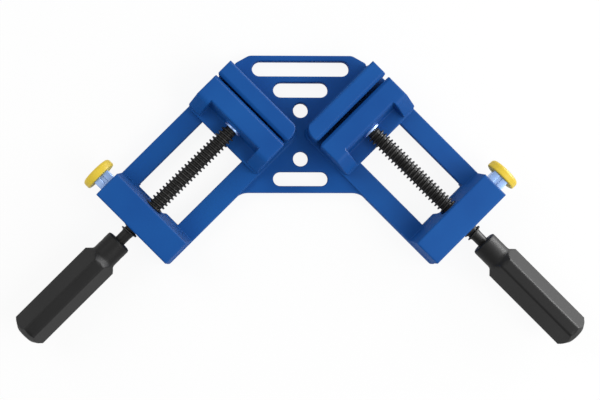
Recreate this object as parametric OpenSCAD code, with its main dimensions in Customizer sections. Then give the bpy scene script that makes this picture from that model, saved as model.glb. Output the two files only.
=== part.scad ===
// Corner clamp for two workpieces at a right angle.
// Origin: the corner where the two fixed jaw faces meet, on the underside.
// +X runs out along the left arm, +Y out along the right arm, +Z is up.
// The left arm is modelled, and the right arm is its mirror image.

/* [Arms] */
// Height of the rails above the bench
deck_z = 13; // [10:0.5:18]
// Height of the jaws and end blocks above the bench
top_z = 40; // [34:0.5:50]
// Width of one arm across its two rails
arm_w = 67.9; // [60:0.1:80]
// Width of the window between the rails
window_w = 39; // [32:0.5:44]
// Distance from the corner to the inner side of the arm
arm_inset = 13.2; // [11:0.2:15]
// Inner end of the window, from the fixed jaw face
window_in = 6; // [5:0.5:7]
// Outer end of the window, from the fixed jaw face
window_out = 92.5; // [92:0.5:110]
// Plan radius of the outer corners of an arm
arm_corner_r = 2; // [1:0.5:8]

/* [Jaws] */
// Thickness of a fixed jaw
fixed_t = 13; // [10:0.5:16]
// Gap between the jaw faces as it is stored
rest_gap = 1.5; // [1.3:0.1:2.2]
// How much further open the right jaw is stored
right_open = 1.2; // [0:0.1:3]
// Thickness of the moving jaw's wall at its top
wall_t = 15; // [12:0.5:16]
// How much thicker the wall is at its foot
wall_slope = 2.6; // [0.6:0.1:3]
// Depth of the moving jaw's base plate
plate_d = 28.5; // [27:0.5:30]
// Thickness of the moving jaw's base plate
plate_t = 6.5; // [4:0.5:7]
// Thickness of each gusset
gusset_t = 10.5; // [6:0.5:12]
// Bevel along the top of a jaw face
bevel = 2; // [0.5:0.25:3]
// Opening from the stored pose to fully open
travel = 62; // [40:1:62]

/* [Clamp screw] */
// Outside diameter of the thread
screw_d = 12; // [10:0.5:12.5]
// Lead of the thread for one turn
pitch = 3; // [2:0.5:4]
// Height of the screw's axis above the bench
screw_z = 28; // [27:0.5:29]
// Radial play of the screw's tip and of the nut
fit = 0.05; // [0.03:0.01:0.08]

/* [Handle] */
// Distance from the fixed jaw face to the handle's collar
handle_x = 127.8; // [126:0.2:135]
// Length of the handle with its collar
handle_l = 90.4; // [80:0.2:100]
// Diameter of the collar
collar_d = 18.4; // [16:0.2:21]
// Length of the collar
collar_l = 15.5; // [12:0.5:20]
// Length of a broad side of the grip's section
grip_broad = 18.5; // [15:0.5:20]
// Length of a narrow side of the grip's section
grip_narrow = 8; // [5:0.5:10]
// Angle of the left handle about its screw as it is stored
turn_left = 171; // [0:1:359]
// Angle of the right handle about its screw as it is stored
turn_right = 178; // [0:1:359]

/* [End block] */
// Thickness of an end block along the arm
block_t = 21; // [20:0.5:26]
// Draft of the block's sides, over its height
draft = 0.4; // [0.1:0.1:1.2]
// Width of the release slider along the arm
slider_w = 12; // [11:0.5:14]
// Height of the release slider
slider_h = 17; // [15:0.5:18]
// Stroke of the release button
press = 4; // [3:0.25:5]
// Diameter of the release button
button_d = 23.4; // [20:0.2:24]
// Thickness of the release button
button_t = 6.4; // [5:0.2:8]
// Length of the slider seen between block and button
stem_l = 6.8; // [6:0.2:9]

/* [Web] */
// Height of the web above the bench
web_z = 9.5; // [7:0.5:12]
// Distance from the corner to the back edge of the web
web_back = 73.1; // [72:0.1:76]
// Distance from the corner to the front edge of the web
web_front = 22.8; // [20:0.2:26]
// Width of the two slots at the back
slot_w = 10.7; // [8:0.1:11]
// Width of the slot at the front
front_slot_w = 10; // [8:0.1:11]
// Length of the long slot at the back
slot_long = 68; // [50:1:70]
// Length of the two short slots
slot_short = 38.3; // [24:0.1:40]
// Diameter of the bench bolt holes
hole_d = 10.5; // [8:0.25:12]
// Spacing of the two bench bolt holes
hole_pitch = 34; // [33:0.5:35]

/* [Hidden] */
$fn = 64;
c45 = sqrt(0.5);
axis_shift = 0.45;
arm_y = -arm_inset - arm_w / 2 - axis_shift;
arm_y0 = -arm_inset - arm_w;
block_x = window_out + 3.5;
block_out = block_x + block_t;
slider_x = block_x + block_t / 2 - 0.9;
arm_x0 = -fixed_t - 0.6;
parting = 0.3;
slide_fit = 0.1;
rail_lip = 6;
lip_z = 5;
run = 0.3;
face_x = rest_gap;
wall_x = face_x + wall_t;
seat_x = wall_x + wall_slope * 0.75;
boss_d = 14;
plate_x = face_x + plate_d;
jaw_z = deck_z + run;
jaw_y0 = arm_y0;
jaw_y1 = -arm_inset - 1.1;
tongue_set = 6;
tongue_end = 3.5;
stop_gap = 0.6;
tongue_in = face_x + tongue_set;
tongue_out = min(plate_x - tongue_end, window_out - travel - stop_gap);
keeper_t = 3.4;
keeper_screw_d = 4;
keeper_head_d = 7;
keeper_head_h = 1.7;
keeper_seat = 0.2;
keeper_bite = 8;
core_wall = 3.5;
core_roof = 6;
pin_over = 6;
grip_step = 3.6;
grip_bulge = 5.6;
grip_end = 5.4;
grip_tip = 6.5;
core_w = 7;
core_y = (window_w / 2 + (jaw_y1 - jaw_y0) / 2) / 2;
keeper_top = lip_z - run;
washer_t = 1.5;
neck_d = screw_d - pitch - 1;
thread_in = seat_x + washer_t + 0.1;
thread_out = block_out + 2;
tip_in = face_x + 3.5;
groove_x = face_x + 8.5;
pin_d = 3;
groove_d = neck_d - 2.4;
jaw_pin_y = groove_d / 2 + pin_d / 2 + 0.1;
shank_out = handle_x + 46;
cross_x = handle_x + collar_l / 2;
slider_in = arm_y + 13.5;
slider_out = arm_y0 + draft - stem_l;
pocket_in = slider_in + 10;
spring_d = 9;
stop_y = (arm_y + slider_out) / 2 - 3;
groove_w = 2.6;
socket_d = 9;
socket_l = 4;
hole_u = -0.8;
web_slot1 = -63.9;
web_slot2 = -49.1;
web_slot3 = 13.2;

blue = [0.10, 0.30, 0.60];
black = [0.10, 0.10, 0.10];
steel = [0.72, 0.74, 0.78];
yellow = [0.93, 0.80, 0.22];

// Points of a polygon with each corner rounded; corners are [x, y, radius].
function corner(a, b, c, n = 6) =
    let (u = [a[0] - b[0], a[1] - b[1]],
         w = [c[0] - b[0], c[1] - b[1]],
         eu = u / norm(u),
         ew = w / norm(w),
         half = acos(eu * ew) / 2,
         mid = (eu + ew) / norm(eu + ew),
         o = [b[0], b[1]] + mid * b[2] / sin(half),
         p = [b[0], b[1]] + eu * b[2] / tan(half) - o,
         q = [b[0], b[1]] + ew * b[2] / tan(half) - o,
         a0 = atan2(p[1], p[0]),
         d = (atan2(q[1], q[0]) - a0 + 540) % 360 - 180)
    b[2] == 0 ? [[b[0], b[1]]]
    : [for (i = [0:n]) o + b[2] * [cos(a0 + d * i / n), sin(a0 + d * i / n)]];

function rounded(p) = [for (i = [0:len(p) - 1])
    each corner(p[(i + len(p) - 1) % len(p)], p[i], p[(i + 1) % len(p)])];

// A box between two corners.
module box(a, b) {
    translate(a)
        cube(b - a);
}

// A profile drawn in x and z, run along y from y0 to y1.
module across(y0, y1, points) {
    translate([0, y1, 0])
        rotate([90, 0, 0])
            linear_extrude(y1 - y0)
                polygon(points);
}

// A profile drawn in y and z, run along x from x0 to x1.
module along(x0, x1, points) {
    translate([x0, 0, 0])
        rotate([90, 0, 90])
            linear_extrude(x1 - x0)
                polygon(points);
}

// A round bar along the arm, on the screw's axis.
module bar(x0, x1, d) {
    translate([x0, arm_y, screw_z])
        rotate([0, 90, 0])
            cylinder(h = x1 - x0, d = d);
}

// A round bar across the arm, at x and z.
module cross_bar(x, z, y0, y1, d) {
    translate([x, y0, z])
        rotate([-90, 0, 0])
            cylinder(h = y1 - y0, d = d);
}

// The right arm's copy of a left piece.
module right() {
    mirror([1, -1, 0])
        children();
}

// The right arm's copy of a left piece that moves with its jaw.
module right_moving() {
    right()
        translate([right_open, 0, 0])
            children();
}

// Web coordinates: u towards the front, v towards the right arm.
module web_frame() {
    rotate(45)
        children();
}

module slot(u, length, width) {
    straight = length - width;
    translate([u, -straight / 2])
        circle(d = width);
    translate([u, straight / 2])
        circle(d = width);
    translate([u - width / 2, -straight / 2])
        square([width, straight]);
}

module web_outline() {
    arm_u = (-fixed_t - arm_inset - arm_w) * c45;
    arm_v = (arm_inset + arm_w - fixed_t) * c45;
    front_v = web_front + 2 * arm_inset * c45;
    polygon(rounded([
        [-web_back, -36, 7], [-web_back, 36, 7],
        [arm_u - 1.4, arm_v - 2.8, 1.5], [arm_u + 12, arm_v + 4, 0],
        [web_front + 4, front_v + 12, 0], [web_front + 7.8, front_v + 8.2, 0],
        [web_front, front_v + 0.4, 13], [web_front, -front_v - 0.4, 13],
        [web_front + 7.8, -front_v - 8.2, 0], [web_front + 4, -front_v - 12, 0],
        [arm_u + 12, -arm_v - 4, 0], [arm_u - 1.4, -arm_v + 2.8, 1.5]]));
}

module web_cuts() {
    slot(web_slot1, slot_long, slot_w);
    slot(web_slot2, slot_short, slot_w);
    slot(web_slot3, slot_short, front_slot_w);
    for (u = [hole_u, hole_u - hole_pitch])
        translate([u, 0])
            circle(d = hole_d);
}

module arm_plan() {
    polygon(rounded([
        [arm_x0, arm_y0, 1.5], [block_out, arm_y0, arm_corner_r],
        [block_out, -arm_inset, arm_corner_r], [arm_x0, -arm_inset, 8]]));
}

module fixed_jaw() {
    y0 = arm_y0 + 0.3;
    y1 = -arm_inset - 1.6;
    intersection() {
        across(y0, y1, rounded([
            [-fixed_t, deck_z - 3, 0], [0, deck_z - 3, 0], [0, top_z - bevel, 0],
            [-bevel, top_z, 0], [-fixed_t + 0.6, top_z, 1.8]]));
        linear_extrude(top_z + 1)
            polygon(rounded([
                [-fixed_t, y0, 1.2], [0, y0, 1], [0, y1, 3], [-fixed_t, y1, 8]]));
    }
}

module end_block() {
    y0 = arm_y0 + parting;
    y1 = -arm_inset - parting;
    x1 = block_out - parting;
    foot_x = window_out + 0.8;
    intersection() {
        along(foot_x - 1, block_out, rounded([
            [y0, deck_z - 3, 0], [y1, deck_z - 3, 0], [y1, deck_z, 0], [y1 - draft, top_z, 1.2],
            [y0 + draft, top_z, 1.2], [y0, deck_z, 0]]));
        across(y0 - 1, y1 + 1, rounded([
            [foot_x, deck_z - 3, 0], [x1, deck_z - 3, 0], [x1, deck_z, 0],
            [x1 - draft, top_z, 1.2], [block_x + draft, top_z, 1.2],
            [foot_x, deck_z, 0]]));
        linear_extrude(top_z + 1)
            polygon(rounded([
                [foot_x - 1, y0, 0], [x1, y0, arm_corner_r], [x1, y1, arm_corner_r], [foot_x - 1, y1, 0]]));
    }
}

module arm_cuts() {
    y0 = arm_y - window_w / 2;
    notch_r = 11.35;
    box([window_in, y0, -1], [window_out, y0 + window_w, deck_z + 1]);
    // rebate under the rails for the jaw's keeper
    box([window_in - 2, y0 - rail_lip, -1], [window_out - 2, y0 + window_w + rail_lip, lip_z]);
    // hollow under the screw at the foot of the block
    translate([window_out + 3.3 - notch_r, arm_y, -1])
        cylinder(h = deck_z + 6, r = notch_r);
    // bore for the screw, pocket for the slider and hole for its stop pin
    bar(window_out - 5, block_out + 1, screw_d + 1.2);
    box([slider_x - slider_w / 2 - slide_fit, slider_out, screw_z - slider_h / 2 - slide_fit],
        [slider_x + slider_w / 2 + slide_fit, pocket_in, screw_z + slider_h / 2 + slide_fit]);
    translate([slider_x, stop_y, -1])
        cylinder(h = top_z - 0.5, d = pin_d);
    // cores that open to the bench, in the fixed jaw and the end block
    box([-fixed_t + 3.5, y0 - rail_lip - 4, -1],
        [-3.5, y0 + window_w + rail_lip + 4, top_z - core_roof]);
    box([block_x + 4, arm_y + 6, -1], [block_out - 4, -arm_inset - 5, deck_z - 1]);
}

module arm_casting() {
    linear_extrude(deck_z)
        arm_plan();
    fixed_jaw();
    end_block();
}

module base_casting() {
    color(blue)
        difference() {
            union() {
                arm_casting();
                right()
                    arm_casting();
                web_frame()
                    linear_extrude(web_z)
                        web_outline();
            }
            web_frame()
                translate([0, 0, -1])
                    linear_extrude(top_z)
                        web_cuts();
            arm_cuts();
            right()
                arm_cuts();
        }
}

// Moving jaw

module jaw_body() {
    y0 = jaw_y0;
    y1 = jaw_y1;
    side = rounded([
        [face_x, jaw_z, 0], [plate_x - 1.4, jaw_z, 0], [plate_x - 1.4, jaw_z + 11.5, 3.5],
        [face_x + 18, top_z, 4.5], [face_x + bevel, top_z, 0], [face_x, top_z - bevel, 0]]);
    wall = rounded([
        [face_x, jaw_z, 0], [plate_x, jaw_z, 0], [plate_x, jaw_z + plate_t, 1],
        [wall_x + wall_slope, jaw_z + plate_t, 1], [wall_x, top_z, 1.5],
        [face_x + bevel, top_z, 0], [face_x, top_z - bevel, 0]]);
    intersection() {
        union() {
            across(y0, y1, wall);
            across(y0, y0 + gusset_t, side);
            across(y1 - gusset_t, y1, side);
        }
        along(face_x - 1, plate_x + 1, rounded([
            [y0, jaw_z, 0], [y1, jaw_z, 0], [y1 - 0.2, top_z, 1], [y0 + 0.2, top_z, 1]]));
        linear_extrude(top_z + 1)
            polygon(rounded([
                [face_x, y0, 1], [plate_x, y0, 3], [plate_x, y1, 3], [face_x, y1, 3]]));
    }
    // boss that the thrust washer runs on
    bar(wall_x - 2, seat_x, boss_d);
    box([tongue_in, arm_y - window_w / 2 + run, keeper_top],
        [tongue_out, arm_y + window_w / 2 - run, jaw_z + 1]);
}

module keeper_holes(d, z0, z1) {
    for (side = [-1, 1])
        translate([(tongue_in + tongue_out) / 2, arm_y + side * window_w / 3, z0])
            cylinder(h = z1 - z0, d = d);
}

module jaw_left() {
    color(blue)
        difference() {
            jaw_body();
            bar(tip_in - 0.4, seat_x + 1, neck_d + 2 * fit);
            bar(seat_x, seat_x + 4, boss_d + 0.6);
            translate([groove_x, arm_y + jaw_pin_y, keeper_top - 1])
                cylinder(h = screw_z + pin_over - keeper_top, d = pin_d);
            keeper_holes(keeper_screw_d, keeper_top - 1, keeper_top + keeper_bite);
            // cores that open to the bench
            for (side = [-1, 1])
                translate([face_x + core_wall, arm_y + side * core_y - core_w / 2, keeper_top])
                    cube([wall_t - 2 * core_wall, core_w, top_z - core_roof - keeper_top]);
        }
}

module jaw_keeper_left() {
    w = window_w + 2 * rail_lip - 2 * run;
    color(steel)
        difference() {
            box([tongue_in, arm_y - w / 2, keeper_top - keeper_t],
                [tongue_out, arm_y + w / 2, keeper_top]);
            keeper_holes(keeper_screw_d + 0.3, 0, keeper_top + 1);
            keeper_holes(keeper_head_d + 0.2, 0, keeper_top - keeper_t + keeper_seat + keeper_head_h);
        }
}

module keeper_screws_left() {
    head_z = keeper_top - keeper_t + keeper_seat;
    color(steel) {
        keeper_holes(keeper_head_d, head_z, head_z + keeper_head_h);
        keeper_holes(keeper_screw_d, head_z + keeper_head_h, keeper_top + keeper_bite - 0.5);
    }
}

module jaw_pin_left() {
    color(steel)
        translate([groove_x, arm_y + jaw_pin_y, keeper_top + 0.2])
            cylinder(h = screw_z + pin_over - 1.5 - keeper_top, d = pin_d);
}

// Clamp screw and handle

module clamp_screw_left() {
    color(black)
        difference() {
            union() {
                bar(tip_in, thread_in, neck_d);
                bar(thread_in, thread_out, screw_d);
                bar(thread_out, shank_out, neck_d);
            }
            difference() {
                bar(groove_x - pin_d / 2 - 0.2, groove_x + pin_d / 2 + 0.2, neck_d + 2);
                bar(groove_x - pin_d, groove_x + pin_d, groove_d);
            }
            cross_bar(cross_x, screw_z, arm_y - neck_d, arm_y + neck_d, 4);
        }
}

module thrust_washer_left() {
    color(steel)
        difference() {
            bar(seat_x + 0.05, seat_x + 0.05 + washer_t, boss_d - 1);
            bar(seat_x - 1, seat_x + 2 + washer_t, neck_d + 0.1);
        }
}

function grip_section() =
    let (r = 2,
         tri = grip_broad + 2 * grip_narrow,
         inner = tri * sqrt(3) / 6,
         out = inner * 2 - grip_narrow * sqrt(3) / 2,
         ends = [for (k = [0:2], e = [-1, 1])
             [out * cos(120 * k) - e * grip_narrow / 2 * sin(120 * k),
              out * sin(120 * k) + e * grip_narrow / 2 * cos(120 * k), r]])
    rounded(ends);

module handle(turn) {
    grip_x = collar_l + grip_step;
    grip_r = collar_d / 2 + grip_bulge;
    color(black)
        translate([handle_x, arm_y, screw_z])
            rotate([0, 90, 0])
                difference() {
                    union() {
                        cylinder(h = grip_x, d = collar_d);
                        intersection() {
                            translate([0, 0, collar_l - 1])
                                linear_extrude(handle_l - collar_l + 1)
                                    rotate(turn)
                                        polygon(grip_section());
                            rotate_extrude()
                                polygon([[0, collar_l - 1], [collar_d / 2 - 1, collar_l - 1],
                                    [grip_r, grip_x + 2], [grip_r, handle_l - grip_end],
                                    [grip_tip, handle_l], [0, handle_l]]);
                        }
                    }
                    translate([0, 0, -1])
                        cylinder(h = shank_out - handle_x + 1.5, d = neck_d + 0.02);
                    translate([0, -collar_d, collar_l / 2])
                        rotate([-90, 0, 0])
                            cylinder(h = 2 * collar_d, d = 4);
                }
}

module handle_left() {
    handle(turn_left);
}

module handle_right() {
    right_moving()
        handle(turn_right);
}

module handle_pin_left() {
    color(black)
        cross_bar(cross_x, screw_z, arm_y - collar_d / 2 + 0.4, arm_y + collar_d / 2 - 0.4, 4);
}

// Quick release

module release_slider_left() {
    color(steel)
        difference() {
            union() {
                box([slider_x - slider_w / 2, slider_out, screw_z - slider_h / 2],
                    [slider_x + slider_w / 2, slider_in, screw_z + slider_h / 2]);
                cross_bar(slider_x, screw_z, slider_out - socket_l, slider_out, socket_d);
            }
            for (shift = [0, -press])
                translate([slider_x - slider_w, arm_y + shift, screw_z])
                    rotate([0, 90, 0])
                        cylinder(h = 2 * slider_w, d = screw_d + 2 * fit);
            box([slider_x - slider_w, arm_y - press, screw_z - screw_d / 2 - fit],
                [slider_x + slider_w, arm_y, screw_z + screw_d / 2 + fit]);
            // slot for the stop pin and seat for the spring
            for (shift = [0, -press])
                translate([slider_x, stop_y + shift, 0])
                    cylinder(h = top_z, d = pin_d + 0.2);
            box([slider_x - pin_d / 2 - 0.1, stop_y - press, 0],
                [slider_x + pin_d / 2 + 0.1, stop_y, top_z]);
            cross_bar(slider_x, screw_z, slider_in - 3, slider_in + 1, spring_d + 0.6);
            // groove that guides the stop pin in from the button's end
            box([slider_x - groove_w / 2, slider_out - 1, screw_z + slider_h / 2 - 1.2],
                [slider_x + groove_w / 2, stop_y, screw_z + slider_h / 2 + 1]);
        }
}

module release_button_left() {
    color(yellow)
        translate([slider_x, slider_out, screw_z])
            rotate([90, 0, 0])
                difference() {
                    rotate_extrude()
                        polygon(rounded([
                            [0, 0, 0], [button_d / 2, 0, 1], [button_d / 2, button_t - 0.6, 2.4],
                            [button_d / 4, button_t, 0], [0, button_t, 0]]));
                    translate([0, 0, -1])
                        cylinder(h = socket_l + 1.1, d = socket_d + 0.04);
                }
}

module return_spring_left() {
    color(steel)
        difference() {
            cross_bar(slider_x, screw_z, slider_in - 3, pocket_in, spring_d);
            cross_bar(slider_x, screw_z, slider_in - 4, pocket_in + 1, spring_d - 2.4);
        }
}

module stop_pin_left() {
    color(steel)
        translate([slider_x, stop_y, 1])
            cylinder(h = top_z - 3, d = pin_d);
}

base_casting();
jaw_left();
jaw_keeper_left();
keeper_screws_left();
jaw_pin_left();
clamp_screw_left();
thrust_washer_left();
handle_left();
handle_pin_left();
release_slider_left();
release_button_left();
return_spring_left();
stop_pin_left();
right_moving() jaw_left();  // jaw_right
right_moving() jaw_keeper_left();  // jaw_keeper_right
right_moving() keeper_screws_left();  // keeper_screws_right
right_moving() jaw_pin_left();  // jaw_pin_right
right_moving() clamp_screw_left();  // clamp_screw_right
right_moving() thrust_washer_left();  // thrust_washer_right
handle_right();
right_moving() handle_pin_left();  // handle_pin_right
right() release_slider_left();  // release_slider_right
right() release_button_left();  // release_button_right
right() return_spring_left();  // return_spring_right
right() stop_pin_left();  // stop_pin_right
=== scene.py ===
from math import cos, pi, radians, sin, tan

import bmesh
import bpy
from mathutils import Matrix, Vector
from mathutils.geometry import intersect_point_line


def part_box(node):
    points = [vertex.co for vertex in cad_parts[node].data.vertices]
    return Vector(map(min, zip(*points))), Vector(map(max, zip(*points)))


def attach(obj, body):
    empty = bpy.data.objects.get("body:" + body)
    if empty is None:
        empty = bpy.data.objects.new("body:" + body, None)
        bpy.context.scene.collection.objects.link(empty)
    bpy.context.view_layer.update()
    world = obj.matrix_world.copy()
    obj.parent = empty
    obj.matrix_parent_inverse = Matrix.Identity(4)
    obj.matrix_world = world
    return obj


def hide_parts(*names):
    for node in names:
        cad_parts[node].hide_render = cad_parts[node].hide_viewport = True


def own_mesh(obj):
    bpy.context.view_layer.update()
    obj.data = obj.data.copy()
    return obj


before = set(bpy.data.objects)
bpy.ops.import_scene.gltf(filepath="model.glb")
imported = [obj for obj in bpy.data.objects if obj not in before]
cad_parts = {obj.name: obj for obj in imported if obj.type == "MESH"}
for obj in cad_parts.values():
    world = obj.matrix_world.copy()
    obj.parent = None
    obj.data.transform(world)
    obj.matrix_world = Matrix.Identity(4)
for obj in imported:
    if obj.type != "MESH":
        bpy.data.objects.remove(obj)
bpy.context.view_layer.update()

# The casting and its two moving jaws are aluminium die castings: both arms, the slotted web, the
# fixed jaws and the end blocks are one piece. They are sprayed with blue enamel that pulls back
# on the edges, so the edges are soft and the flats have a faint orange peel. The paler blue
# painted along the edges is partly that thin enamel and partly a painted highlight.

SIDES = ("left", "right")
CASTING_EDGE = 0.0006
JAW_EDGE = 0.0007
DEEP_BLUE = (0.0034, 0.067, 0.286, 1)
BRIGHT_BLUE = (0.0052, 0.088, 0.338, 1)
# the paler blue for the edges: partly thin enamel, partly a painted highlight along them
THIN_PAINT_AND_HIGHLIGHT_BLUE = (0.060, 0.200, 0.520, 1)
scene = bpy.context.scene


class Shade:
    """A socket in one material's nodes. Sums written on it add Math nodes."""

    def __init__(self, tree, socket=None):
        self.tree = tree
        self.socket = socket

    def node(self, kind, settings=None, inputs=None, output=0):
        """A new node: its settings come first, then the values or links of its sockets."""
        made = self.tree.nodes.new(kind)
        for name, value in (settings or {}).items():
            setattr(made, name, value)
        for name, value in (inputs or {}).items():
            if isinstance(value, Shade):
                self.tree.links.new(value.socket, made.inputs[name])
            else:
                made.inputs[name].default_value = value
        return Shade(self.tree, made.outputs[output])

    def math(self, operation, a, b):
        return self.node("ShaderNodeMath", {"operation": operation}, {0: a, 1: b})

    def __add__(self, other):
        return self.math("ADD", self, other)

    __radd__ = __add__

    def __sub__(self, other):
        return self.math("SUBTRACT", self, other)

    def __rsub__(self, other):
        return self.math("SUBTRACT", other, self)

    def __mul__(self, other):
        return self.math("MULTIPLY", self, other)

    __rmul__ = __mul__

    def mix(self, low, high):
        """A colour between low and high, by this value."""
        sockets = {0: self, 6: low, 7: high}
        return self.node("ShaderNodeMix", {"data_type": "RGBA"}, sockets, output=2)

    def noise(self, per_metre, detail=2.0, stretch=(1, 1, 1)):
        """Noise from 0 to 1 with about this many features to the metre."""
        place = self.node("ShaderNodeTexCoord", output="Object")
        place = self.node(
            "ShaderNodeMapping", {"vector_type": "POINT"}, {"Vector": place, "Scale": stretch}
        )
        return self.node(
            "ShaderNodeTexNoise", None, {"Vector": place, "Scale": per_metre, "Detail": detail}
        )

    def eased(self, radius):
        """The surface's normal, rolled over its edges by this radius."""
        return self.node("ShaderNodeBevel", {"samples": 8}, {"Radius": radius})

    def edges(self, radius):
        """A value that rises from 0 on the flats towards the edges, over about this radius."""
        plain = self.node("ShaderNodeNewGeometry", output="Normal")
        return 1 - self.node(
            "ShaderNodeVectorMath", {"operation": "DOT_PRODUCT"},
            {0: self.eased(radius), 1: plain}, output="Value",
        )

    def steep(self):
        """0 where the surface lies flat, 1 where it stands upright."""
        normal = self.node("ShaderNodeNewGeometry", output="Normal")
        upward = self.node("ShaderNodeSeparateXYZ", None, {0: normal}, output="Z")
        return 1 - self.math("ABSOLUTE", upward, 0.0)

    def spread(self, low, high):
        """This value with low taken to 0 and high taken to 1."""
        return self.node(
            "ShaderNodeMapRange", None, {"Value": self, "From Min": low, "From Max": high}
        )


def finish(name, fixed, varied):
    """A material: fixed sockets of its surface, then what varied(nodes) links to them."""
    material = bpy.data.materials.new(name)
    material.use_nodes = True
    tree = material.node_tree
    surface = tree.nodes["Principled BSDF"]
    for socket, value in fixed.items():
        surface.inputs[socket].default_value = value
    for socket, value in varied(Shade(tree)).items():
        tree.links.new(value.socket, surface.inputs[socket])
    return material


def relief(height, depth, edge):
    """A normal from a height field with its depth in metres, eased over the edges."""
    return height.node(
        "ShaderNodeBump", None,
        {"Height": height, "Strength": 1.0, "Distance": depth, "Normal": height.eased(edge)},
    )


def enamel_coat(nodes):
    drift = nodes.noise(22).spread(0.3, 0.7)
    peel = nodes.noise(700, detail=1.0)
    grit = nodes.noise(2600, detail=1.0)
    patchy = nodes.noise(160, detail=3.0).spread(0.30, 0.70)
    # the edges are painted paler: partly thin enamel, partly a painted highlight along the edges
    thin_paint_and_highlight = nodes.edges(0.0012).spread(0.02, 0.30) * patchy
    return {
        "Base Color": (0.45 * thin_paint_and_highlight).mix(drift.mix(DEEP_BLUE, BRIGHT_BLUE), THIN_PAINT_AND_HIGHLIGHT_BLUE),
        "Roughness": 0.42 + 0.08 * drift + 0.06 * grit - 0.10 * thin_paint_and_highlight + 0.30 * nodes.steep(),
        "Normal": relief(peel + 0.4 * grit, depth=0.00002, edge=0.0010),
    }


enamel = finish("blue_enamel", {"Specular IOR Level": 0.15}, enamel_coat)

# the bends, in radians, past which two faces meet in an edge, or a curved face has a line of its own
SHARP = radians(24)
CREASE = 0.01
# the most of a line's length, and of the gap across a face, that the roll at an end takes
ALONG = 0.45
ACROSS = 0.42
# the least cosine between a corner's way in and the gap that it has to leave room in
AHEAD = 0.5
# the least sine of a corner's half angle, and the least half angle, that a roll reckons with
THIN_SINE = 0.5
THIN_HALF = 0.05
# where a round's crown lies on the way from the sharp edge or corner to the middle of its rims
EDGE_CROWN = 0.586
CORNER_CROWN = 0.63


class Corner:
    """One face's share of a point on a sharp edge, and the way in over that face."""

    def __init__(self, fan, edge):
        self.fan = fan
        self.reach = edge
        self.point = fan[0].vert.co.copy()
        sweep = sum(loop.calc_angle() for loop in fan)
        self.half = sweep / 2
        turn = 0.0
        creases = []
        for loop in fan:
            ahead = loop.link_loop_next.vert.co - self.point
            if turn > 0 and loop.edge.calc_face_angle(0) > CREASE:
                creases.append((abs(turn - sweep / 2), turn, ahead))
            rest = sweep / 2 - turn
            if 0 <= rest <= loop.calc_angle():
                first = ahead.normalized()
                last = loop.link_loop_prev.vert.co - self.point
                across = (last - first * last.dot(first)).normalized()
                self.inward = first * cos(rest) + across * sin(rest)
            turn += loop.calc_angle()
        if creases:
            _, self.half, ahead = min(creases, key=lambda crease: crease[0])
            self.inward = ahead.normalized()
            self.reach = min(edge, ALONG * ahead.length * self.sine())

    def sine(self):
        return max(sin(self.half), THIN_SINE)

    def place(self):
        return self.point + self.inward * self.reach / self.sine()


def corners_of(work, sharp, edge):
    """The Corner of each face corner on a sharp edge, and the ring of them round each point."""
    corner_at, around = {}, {}
    for vertex in work.verts:
        starts = [loop for loop in vertex.link_loops if loop.edge in sharp]
        if len(starts) < 2:
            continue
        around[vertex] = []
        loop = starts[0]
        for _ in starts:
            fan = [loop]
            while fan[-1].link_loop_prev.edge not in sharp:
                fan.append(fan[-1].link_loop_prev.link_loop_radial_next)
            around[vertex].append(Corner(fan, edge))
            corner_at.update((part, around[vertex][-1]) for part in fan)
            loop = fan[-1].link_loop_prev.link_loop_radial_next
    return corner_at, around


def patches(work, sharp):
    """The faces in groups, one for each stretch of surface between sharp edges."""
    left = set(work.faces)
    while left:
        patch = []
        todo = [left.pop()]
        while todo:
            patch.append(todo.pop())
            for loop in patch[-1].loops:
                other = loop.link_loop_radial_next.face
                if loop.edge not in sharp and other in left:
                    left.remove(other)
                    todo.append(other)
        yield patch


def hold_apart(work, sharp, corner_at):
    """Shortens the corners' reach where a face is too short or too narrow for it."""
    no_gap = 1e-7

    def hold(limit, *loops):
        for corner in [corner_at[loop] for loop in loops if loop in corner_at]:
            corner.reach = min(corner.reach, limit)

    for line in sharp:
        for loop in line.link_loops:
            ends = [end for end in (loop, loop.link_loop_next) if end in corner_at]
            closing = sum(1 / tan(max(corner_at[end].half, THIN_HALF)) for end in ends)
            if closing > 0:
                hold(ALONG * line.calc_length() / closing, *ends)
    for patch in patches(work, sharp):
        loops = [loop for face in patch for loop in face.loops]
        rim = [loop for loop in loops if loop.edge in sharp]
        for start in {corner_at[loop]: loop for loop in loops if loop in corner_at}.values():
            corner = corner_at[start]
            for loop in rim:
                first, last = loop.vert.co, loop.link_loop_next.vert.co
                share = intersect_point_line(corner.point, first, last)[1]
                gap = first.lerp(last, min(max(share, 0), 1)) - corner.point
                if corner.inward.dot(gap) > AHEAD * gap.length > no_gap:
                    hold(ACROSS * gap.length, start, loop, loop.link_loop_next)


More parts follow.
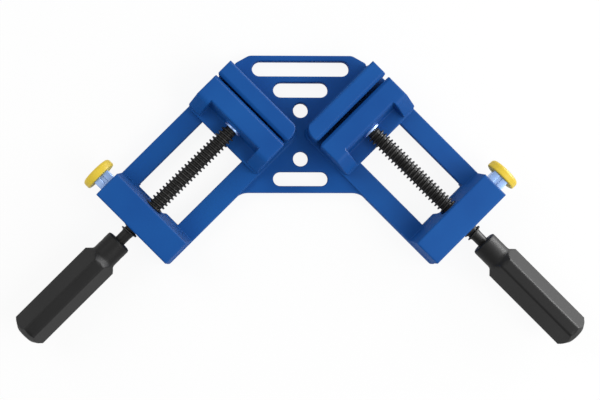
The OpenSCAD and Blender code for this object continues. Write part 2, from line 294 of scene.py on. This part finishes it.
class RolledSkin:
    """A mesh with its sharp edges rolled over, and the corners where it still folds on itself."""

    def __init__(self, work, sharp, corner_at, around, passes=8):
        self.made = bmesh.new()
        self.facing = self.made.faces.layers.float_vector.new("facing")
        self.corner_at = corner_at
        self.owners = {}
        self.crowns = {}
        self.plain = {v: self.point(v.co) for v in work.verts if v not in around}
        corners = [corner for ring in around.values() for corner in ring]
        self.moved = {corner: self.point(corner.place(), corner) for corner in corners}
        for vertex, ring in around.items():
            self.crown_edges(vertex, ring)
            if len(ring) > 2:
                self.round_corner(vertex, ring)
        for face in work.faces:
            self.cover([self.at(loop) for loop in face.loops], face.normal)
        for line in sharp:
            self.round_edge(line)
        for _ in range(passes):
            for face in self.folded():
                if face.is_valid:
                    self.unfold(face)
        ends = [end for face in self.folded() for end in face.verts]
        self.tight = {corner for end in ends for corner in self.owners[end]}

    def point(self, place, *corners):
        vertex = self.made.verts.new(place)
        self.owners[vertex] = corners
        return vertex

    def at(self, loop):
        if loop in self.corner_at:
            return self.moved[self.corner_at[loop]]
        return self.plain[loop.vert]

    def cover(self, points, normal):
        kept = [p for k, p in enumerate(points) if p is not points[k - 1]]
        if len(kept) > 2:
            self.made.faces.new(kept)[self.facing] = normal

    def crown_edges(self, vertex, ring):
        """The crown points of the rounds that leave one point, one for both where only two do."""
        ways = [(c.fan[0].link_loop_next.vert.co - vertex.co).normalized() for c in ring]
        for k, corner in enumerate(ring):
            along = ways[k] if len(ring) > 2 else (ways[0] - ways[1]).normalized()
            mean = (corner.place() + ring[k - 1].place()) / 2 - vertex.co
            level = along * mean.dot(along)
            if len(ring) > 2 or k == 0:
                place = vertex.co + level + EDGE_CROWN * (mean - level)
                crown = self.point(place, corner, ring[k - 1])
            self.crowns[vertex, corner.fan[0].edge] = crown

    def round_corner(self, vertex, ring):
        """The small round cap where three or more edges meet."""
        mean = sum((corner.place() for corner in ring), Vector()) / len(ring) - vertex.co
        middle = self.point(vertex.co + CORNER_CROWN * mean, *ring)
        normal = sum((corner.fan[0].face.normal for corner in ring), Vector()).normalized()
        rim = []
        for corner in ring:
            rim += [self.crowns[vertex, corner.fan[0].edge], self.moved[corner]]
        for k, end in enumerate(rim):
            self.cover([middle, rim[k - 1], end], normal)

    def round_edge(self, line):
        """The two strips of the round along one edge."""
        near, far = line.link_loops
        near_top = self.crowns.get((near.vert, line)) or self.plain[near.vert]
        far_top = self.crowns.get((far.vert, line)) or self.plain[far.vert]
        normal = (near.face.normal + far.face.normal).normalized()
        self.cover([self.at(near.link_loop_next), self.at(near), near_top, far_top], normal)
        self.cover([far_top, near_top, self.at(far.link_loop_next), self.at(far)], normal)

    def folded(self):
        self.made.normal_update()
        return [face for face in self.made.faces if face.normal.dot(face[self.facing]) <= 0]

    def unfold(self, face):
        """Turns the edge of a folded triangle in a flat that unfolds it best."""
        same_flat = 0.9999
        best, choice, up = -1, None, face[self.facing]
        for loop in face.loops:
            other = loop.link_loop_radial_next
            if other.face[self.facing].dot(up) < same_flat or len(other.face.verts) > 3:
                continue
            a, b = loop.vert, other.vert
            c, d = loop.link_loop_prev.vert, other.link_loop_prev.vert
            now = (b.co - a.co).cross(c.co - a.co).dot(up)
            one = (d.co - a.co).cross(c.co - a.co).dot(up)
            two = (c.co - b.co).cross(d.co - b.co).dot(up)
            if min(one, two) > max(best, now) and not self.made.edges.get((c, d)):
                best, choice = min(one, two), loop.edge
        if choice:
            bmesh.utils.edge_rotate(choice, True)


def flats_first(mesh):
    """Corner normals that follow the larger faces, so flats stay flat and small rounds roll."""
    same_roll, trace = 0.6, 1e-12
    around = [[] for _ in mesh.vertices]
    for face in mesh.polygons:
        for vertex in face.vertices:
            around[vertex].append(face)
    normals = []
    for face in mesh.polygons:
        for vertex in face.vertices:
            total = face.normal * trace
            for other in around[vertex]:
                if other.normal.dot(face.normal) > same_roll:
                    total = total + other.normal * other.area
            normals.append(total.normalized())
    mesh.normals_split_custom_set(normals)


def fitted(name, mesh, material, body, nodes):
    """A piece with its finish, in the place of its nodes and tied to its body."""
    mesh.materials.append(material)
    piece = bpy.data.objects.new(name, mesh)
    scene.collection.objects.link(piece)
    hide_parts(*nodes)
    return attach(piece, body)


def softened(name, body, edge, material):
    """A node's own shape with its sharp edges rolled over by this much."""
    weld, sliver, more_tries = 2e-6, 2e-7, 8
    work = bmesh.new()
    work.from_mesh(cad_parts[name].data)
    bmesh.ops.remove_doubles(work, verts=work.verts, dist=weld)
    work.normal_update()
    bends = [line for line in work.edges if line.is_manifold]
    sharp = dict.fromkeys(line for line in bends if line.calc_face_angle(0) > SHARP)
    corner_at, around = corners_of(work, sharp, edge)
    hold_apart(work, sharp, corner_at)
    skin = RolledSkin(work, sharp, corner_at, around)
    for _ in range(more_tries):
        if not skin.tight:
            break
        for corner in skin.tight:
            corner.reach /= 2
        skin.made.free()
        skin = RolledSkin(work, sharp, corner_at, around)
    bmesh.ops.dissolve_degenerate(skin.made, edges=skin.made.edges, dist=sliver)
    for face in skin.made.faces:
        face.smooth = True
    mesh = bpy.data.meshes.new(name + "_skin")
    skin.made.to_mesh(mesh)
    skin.made.free()
    work.free()
    flats_first(mesh)
    fitted(name + "_skin", mesh, material, body, [name])


softened("base_casting", "frame", CASTING_EDGE, enamel)
for side in SIDES:
    softened("jaw_" + side, "jaw_" + side, JAW_EDGE, enamel)

# Each clamp screw is rolled steel with a 12 x 3 mm trapezoidal right-hand thread and a black oxide
# finish that is rubbed on the crests. Its plain tip turns in the jaw, held by a pin in a groove,
# and its plain neck is pinned in the handle.

OXIDE_DARK = (0.0060, 0.0059, 0.0057, 1)
OXIDE_GREY = (0.012, 0.0115, 0.011, 1)
RUBBED_STEEL = (0.10, 0.098, 0.095, 1)


def black_oxide(nodes):
    bloom = nodes.noise(90, detail=3.0).spread(0.3, 0.75)
    drawn = nodes.noise(500, stretch=(0.2, 1, 1))
    crest = nodes.node("ShaderNodeAttribute", {"attribute_name": "crest"}, output="Fac")
    rubbed = crest.spread(0.6, 1.0) * bloom
    return {
        "Base Color": (0.4 * rubbed).mix(bloom.mix(OXIDE_DARK, OXIDE_GREY), RUBBED_STEEL),
        "Roughness": 0.42 + 0.14 * bloom - 0.06 * rubbed,
        "Normal": relief(drawn, depth=0.00002, edge=0.0003),
    }


oxide = finish("black_oxide_steel", {"Metallic": 0.2, "Specular IOR Level": 0.3}, black_oxide)


def rings(work, loops, first_end=True, last_end=True):
    """Adds a skin over loops of as many points each, closed at the ends asked for."""
    made = [[work.verts.new(p) for p in loop] for loop in loops]
    count = len(loops[0])
    for a, b in zip(made, made[1:]):
        for i in range(count):
            j = (i + 1) % count
            work.faces.new((a[i], a[j], b[j], b[i]))
    if first_end:
        work.faces.new(made[0][::-1])
    if last_end:
        work.faces.new(made[-1])
    return made


def circle(radius, count):
    """Points round a circle, as pairs."""
    turns = [2 * pi * i / count for i in range(count)]
    return [(radius * cos(turn), radius * sin(turn)) for turn in turns]


def piece_from(work, name, material, body, nodes, place=None, sharp=32):
    """A piece from a work mesh: welded, shaded sharp past so many degrees, and fitted."""
    weld = 1e-6
    bmesh.ops.remove_doubles(work, verts=work.verts, dist=weld)
    bmesh.ops.recalc_face_normals(work, faces=work.faces)
    for face in work.faces:
        face.smooth = True
    mesh = bpy.data.meshes.new(name)
    work.to_mesh(mesh)
    work.free()
    mesh.set_sharp_from_angle(angle=radians(sharp))
    if place:
        mesh.transform(place)
    return fitted(name, mesh, material, body, nodes)


def screw_place(side):
    """The place of a screw on either arm: local x runs out along its axis from the tip."""
    low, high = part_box("clamp_screw_" + side)
    middle = (low + high) / 2
    if side == "left":
        return Matrix.Translation((low.x, middle.y, middle.z))
    return Matrix.Translation((middle.x, low.y, middle.z)) @ Matrix.Rotation(pi / 2, 4, "Z")


def clamp_screw(side):
    """A screw and its thread in one closed mesh, made along local x."""
    lead, around = 0.003, 48
    crest, root, core = 0.006, 0.0043, 0.004
    chamfer, blunt = 0.0008, 0.0032
    groove, groove_in, groove_out = 0.0028, 0.0033, 0.0067
    past_block = 0.0045
    foot_in, crest_in, crest_out, foot_out = 0.00115, 0.00165, 0.0024, 0.0029
    ridge = [(0, root), (foot_in, root), (crest_in, crest), (crest_out, crest), (foot_out, root)]
    growth = 5

    # both screws are alike, so the left one is measured for either arm
    low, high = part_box("clamp_screw_left")
    total = high.x - low.x
    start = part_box("thrust_washer_left")[1].x - low.x
    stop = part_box("base_casting")[1].x + past_block - low.x
    last = round((stop - start - lead) / lead * around)
    end = start + lead * (last / around + 1)
    work = bmesh.new()
    mark = work.verts.layers.float.new("crest")

    def turned(*profile):
        return [[(x, y, z) for y, z in circle(radius, around)] for x, radius in profile]

    # the plain tip with its groove, and the neck that runs into the handle
    tip = rings(work, turned(
        (0, blunt), (chamfer, core), (groove_in, core), (groove_in, groove),
        (groove_out, groove), (groove_out, core), (start, core),
    ), last_end=False)[-1]
    neck = rings(
        work, turned((end, core), (total - chamfer, core), (total, blunt)), first_end=False
    )[0]

    # one ridge swept along the helix, each turn joined to the next, full a fifth of a turn in
    grid = []
    for i in range(last + 1):
        full = min(1, growth * min(i, last - i) / around)
        turn = 2 * pi * i / around
        row = []
        for shift, radius in ridge + [(lead, root)]:
            if shift == lead and i + around <= last:
                continue
            x = start + lead * i / around + shift
            r = root + full * (radius - root)
            row.append(work.verts.new((x, r * cos(turn), r * sin(turn))))
            row[-1][mark] = float(radius == crest)
        grid.append(row)
    next_turn = [[row[0]] for row in grid[around:]] + [[] for _ in range(around)]
    rows = [row + joined for row, joined in zip(grid, next_turn)]
    for a, b in zip(rows, rows[1:]):
        for j in range(len(ridge)):
            work.faces.new((a[j], a[j + 1], b[j + 1], b[j]))

    # both ends of the thread run out flat and join the tip and the neck
    first_rim = [row[0] for row in grid[:around + 1]]
    last_rim = [row[-1] for row in rows[last - around:]]
    for ring, rim, first, step in (
        (tip, first_rim, 0, rows[0]), (neck, last_rim, last, rows[last]),
    ):
        ring = [ring[(first + i) % around] for i in range(around + 1)]
        for corners in zip(ring, ring[1:], rim[1:], rim):
            work.faces.new(corners)
        for a, b in zip(step, step[1:]):
            work.faces.new((ring[0], a, b))
    piece_from(
        work, "threaded_screw_" + side, oxide, "spindle_" + side,
        ["clamp_screw_" + side], screw_place(side), sharp=40,
    )


for side in SIDES:
    clamp_screw(side)

# Each handle is moulded in black glass-filled plastic over the screw's neck: a round collar, then
# a grip with broad and narrow sides, a sloping shoulder and a shallow cone at the end. A steel
# cross pin through the collar locks it to the neck.

HANDLE_EDGE = 0.0016
PIN_EDGE = 0.0003
PLASTIC_DARK = (0.0052, 0.0052, 0.0053, 1)
PLASTIC_PALE = (0.0072, 0.0072, 0.0073, 1)


def satin_plastic(nodes):
    drift = nodes.noise(35).spread(0.3, 0.7)
    spark = nodes.noise(2200)
    return {
        "Base Color": drift.mix(PLASTIC_DARK, PLASTIC_PALE),
        "Roughness": 0.46 + 0.06 * drift + 0.12 * spark,
        "Normal": relief(spark, depth=0.00003, edge=0.0012),
    }


plastic = finish("satin_black_plastic", {"Specular IOR Level": 0.27}, satin_plastic)
for side in SIDES:
    softened("handle_" + side, "spindle_" + side, HANDLE_EDGE, plastic)
    softened("handle_pin_" + side, "spindle_" + side, PIN_EDGE, oxide)

# Each release slider is a zinc-plated steel bar that slides across the end block. Its oblong hole
# holds half a nut against the screw, pushed there by a coil spring, and a pin stops it.

SLIDER_EDGE = 0.0004
ZINC_DULL = (0.32, 0.48, 0.82, 1)
ZINC_BRIGHT = (0.42, 0.58, 0.90, 1)


def zinc_plate(nodes):
    stain = nodes.noise(120, detail=3.0).spread(0.35, 0.7)
    grain = nodes.noise(900, stretch=(1, 0.12, 1))
    return {
        "Base Color": stain.mix(ZINC_DULL, ZINC_BRIGHT),
        "Roughness": 0.36 + 0.10 * stain + 0.08 * grain,
        "Normal": relief(grain, depth=0.00001, edge=0.0005),
    }


zinc = finish("bright_zinc", {"Metallic": 1.0}, zinc_plate)


def return_spring(side):
    """A wound spring that the button squashes as it goes in; here it is coiled at one fixed length.
    """
    wire, coil, turns = 0.0006, 0.0039, 6
    steps, wire_sides = 24, 10
    low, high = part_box("return_spring_" + side)
    along = 1 if side == "left" else 0
    length = high[along] - low[along]
    work = bmesh.new()
    loops = []
    for i in range(turns * steps + 1):
        turn = 2 * pi * i / steps
        out = Vector((0, cos(turn), sin(turn)))
        ahead = wire + (length - 2 * wire) * i / (turns * steps)
        section = circle(wire, wire_sides)
        loops.append([out * (coil + away) + Vector((ahead + on, 0, 0)) for away, on in section])
    rings(work, loops)
    start = (low + high) / 2
    start[along] = low[along]
    place = Matrix.Translation(start)
    if along:
        place = place @ Matrix.Rotation(pi / 2, 4, "Z")
    piece = piece_from(
        work, "coil_spring_" + side, zinc, "frame", ["return_spring_" + side], place
    )
    anchor = (low + high) / 2
    anchor[along] = high[along]
    axis = Vector((0, 0, 0))
    axis[along] = 1
    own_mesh(piece)


for side in SIDES:
    softened("release_slider_" + side, "release_" + side, SLIDER_EDGE, zinc)
    softened("stop_pin_" + side, "frame", PIN_EDGE, zinc)
    return_spring(side)

# Each release button is a yellow plastic cap with a rounded rim, pressed on the slider's end.
# Pushing it in frees the screw.

BUTTON_EDGE = 0.0003
DEEP_YELLOW = (0.72, 0.52, 0.040, 1)
PALE_YELLOW = (0.78, 0.58, 0.055, 1)


def yellow_moulding(nodes):
    drift = nodes.noise(40).spread(0.3, 0.7)
    return {
        "Base Color": drift.mix(DEEP_YELLOW, PALE_YELLOW),
        "Roughness": 0.38 + 0.08 * drift,
        "Normal": relief(nodes.noise(1500, detail=1.0), depth=0.00002, edge=0.0008),
    }


yellow = finish("yellow_plastic", {"Specular IOR Level": 0.25}, yellow_moulding)
for side in SIDES:
    softened("release_button_" + side, "release_" + side, BUTTON_EDGE, yellow)

# The jaw hardware is zinc-plated steel: a thrust washer between screw and jaw, the pin in the
# screw's groove, and a keeper plate under the rails with its two socket screws.

WASHER_EDGE = 0.0002
KEEPER_EDGE = 0.0004


def keeper_screws(side):
    """Two screws in one mesh, each a round head with a six-sided socket and a plain shank."""
    head, head_edge, head_depth = 0.0035, 0.0003, 0.0017
    socket_flat, socket_depth = 0.00135, 0.0009
    shank, count = 0.002, 48
    low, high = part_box("keeper_screws_" + side)
    along = 1 if side == "left" else 0
    socket = []
    for i in range(count):
        turn = 2 * pi * i / count
        reach = socket_flat / cos(turn % (pi / 3) - pi / 6)
        socket.append((reach * cos(turn), reach * sin(turn)))
    work = bmesh.new()
    for end, inward in ((low, head), (high, -head)):
        at = (low + high) / 2
        at[along] = end[along] + inward
        at.z = low.z
        outlines = [(socket, socket_depth), (socket, 0)]
        for radius, depth in (
            (head - head_edge, 0), (head, head_edge), (head, head_depth), (shank, head_depth),
            (shank, high.z - low.z),
        ):
            outlines.append((circle(radius, count), depth))
        rings(work, [[at + Vector((x, y, z)) for x, y in outline] for outline, z in outlines])
    piece_from(
        work, "socket_screws_" + side, zinc, "jaw_" + side, ["keeper_screws_" + side]
    )


for side in SIDES:
    softened("thrust_washer_" + side, "jaw_" + side, WASHER_EDGE, zinc)
    softened("jaw_keeper_" + side, "jaw_" + side, KEEPER_EDGE, zinc)
    softened("jaw_pin_" + side, "jaw_" + side, PIN_EDGE, zinc)
    keeper_screws(side)

# The studio is a plain white floor in a pale room, with a soft lamp at the picture's right, two
# higher ones at its upper left and lower right, and a low card at its right that only adds gloss.

FLOOR_HALF = 4
FLOOR_GLOW = 0.9
FLOOR_PAPER = (0.9, 0.9, 0.9, 1)
ROOM_LIGHT = 0.5

floor_work = bmesh.new()
bmesh.ops.create_grid(floor_work, x_segments=1, y_segments=1, size=FLOOR_HALF)
floor_mesh = bpy.data.meshes.new("studio_floor")
floor_work.to_mesh(floor_mesh)
floor_work.free()
floor = bpy.data.objects.new("studio_floor", floor_mesh)
scene.collection.objects.link(floor)

white = bpy.data.materials.new("studio_white")
white.use_nodes = True
studio = Shade(white.node_tree)
white.node_tree.nodes.remove(white.node_tree.nodes["Principled BSDF"])
seen = studio.node("ShaderNodeLightPath", output="Is Camera Ray")
seen = seen + studio.node("ShaderNodeLightPath", output="Is Glossy Ray")
seen = seen + studio.node("ShaderNodeLightPath", output="Is Transmission Ray")
seen = studio.math("MINIMUM", seen, 1.0)
paper = studio.node("ShaderNodeBsdfDiffuse", None, {"Color": FLOOR_PAPER})
glow = studio.node("ShaderNodeEmission", None, {"Color": (1, 1, 1, 1), "Strength": 1.0})
mixed = studio.node("ShaderNodeMixShader", None, {0: FLOOR_GLOW * seen, 1: paper, 2: glow})
white_output = white.node_tree.nodes["Material Output"]
white.node_tree.links.new(mixed.socket, white_output.inputs["Surface"])
floor_mesh.materials.append(white)

world = bpy.data.worlds.new("studio_room")
world.use_nodes = True
background = world.node_tree.nodes["Background"]
background.inputs["Color"].default_value = (1, 1, 1, 1)
background.inputs["Strength"].default_value = ROOM_LIGHT
scene.world = world
scene.view_settings.view_transform = "Standard"


def lamp(name, place, aim, size, watts, gloss_only=False):
    """A soft lamp out of the camera's sight, which adds only reflections if it is gloss_only."""
    light = bpy.data.lights.new(name, "AREA")
    light.shape = "RECTANGLE"
    light.size, light.size_y = size
    light.energy = watts
    made = bpy.data.objects.new(name, light)
    made.location = place
    made.rotation_euler = (Vector(aim) - Vector(place)).to_track_quat("-Z", "Y").to_euler()
    made.visible_camera = False
    made.visible_diffuse = not gloss_only
    scene.collection.objects.link(made)


right_arm = (0.02, 0.10, 0.02)
work_corner = (0.02, 0.02, 0)
lamp("side_lamp", (-0.80, 0.45, 0.42), right_arm, size=(0.8, 0.5), watts=4)
lamp("gloss_card", (-0.90, 0.38, 0.17), right_arm, size=(1.0, 0.28), watts=30, gloss_only=True)
lamp("back_lamp", (0.3, -1.0, 1.1), work_corner, size=(0.9, 0.9), watts=5.6)
lamp("front_lamp", (-0.3, 0.9, 1.2), work_corner, size=(0.9, 0.9), watts=9)

# The camera stands a metre above the clamp and looks almost straight down, turned so that the
# arms open towards the bottom of the picture.

camera = bpy.data.objects.new("camera", bpy.data.cameras.new("camera"))
camera.data.lens = 92.103
camera.data.sensor_width = 36
camera.data.sensor_fit = "HORIZONTAL"
stand = Vector((0.07081, 0.02116, 1.07852))
right = Vector((-0.70673, 0.70673, 0.03247))
up = Vector((-0.70589, -0.70748, 0.03464))
away = Vector((0.04746, 0.00156, 0.99887))
turned_to = Matrix((right, up, away)).transposed().to_4x4()
camera.matrix_world = Matrix.Translation(stand) @ turned_to
scene.collection.objects.link(camera)
scene.camera = camera
